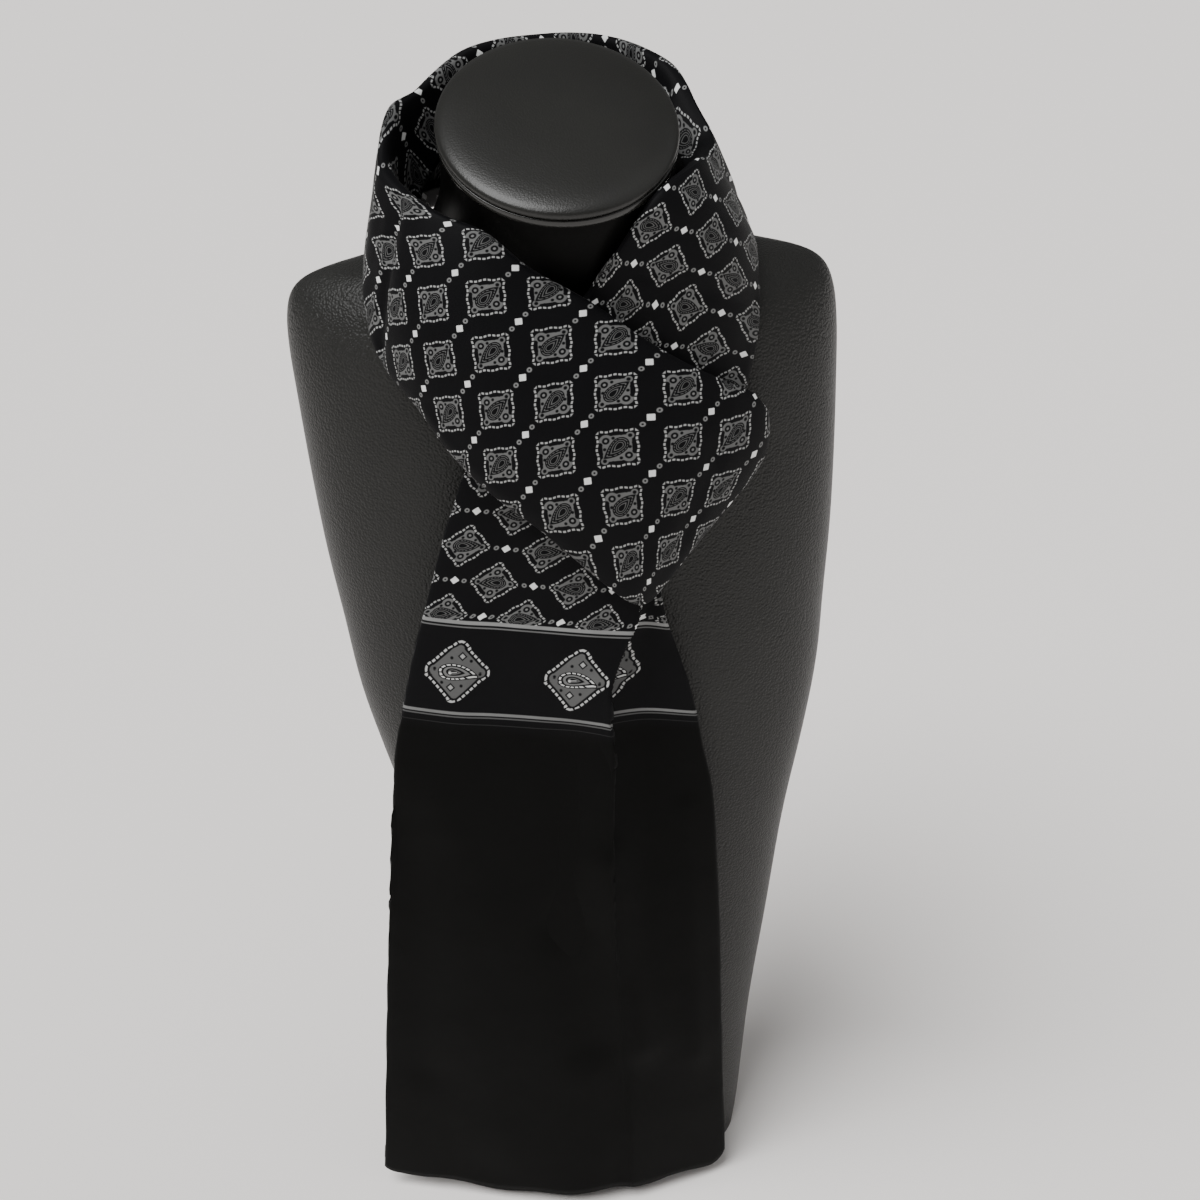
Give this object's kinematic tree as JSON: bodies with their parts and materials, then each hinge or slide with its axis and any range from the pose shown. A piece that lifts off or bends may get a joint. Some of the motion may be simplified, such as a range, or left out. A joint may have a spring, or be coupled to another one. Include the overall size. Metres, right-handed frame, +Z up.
{
  "type": "cashmere scarf on display bust",
  "caption": "Long printed scarf wound round the neck of a limbless display bust, with its plain end hanging to the base and a deep pleat below the crossing.",
  "frame": {"origin": "middle of the bust's flat base, on the surface that it stands on", "axes": "+Z up the bust, -Y out of its chest, +X to its own left, which is the right of the front view"},
  "size_m": [0.3462, 0.2271, 0.8095],
  "materials": {
    "printed_cloth": "smooth matte cloth, black with a small grey and white foulard print",
    "end_cloth": "smooth matte cloth, black below a border of grey stripes and large motifs",
    "bust_leather": "dark leather with a fine grain, half matte",
    "bust_cap": "dark smooth leather, satin"
  },
  "bodies": {
    "root": {"bust_torso": "bust_leather", "bust_neck_rim": "bust_cap", "bust_neck_cap": "bust_cap", "scarf_right_side": "printed_cloth", "scarf_neck_back": "printed_cloth", "scarf_crossing": "printed_cloth", "scarf_fold_behind": "printed_cloth", "scarf_front_end": "end_cloth", "scarf_hidden_end": "end_cloth"}
  },
  "joints": []
}
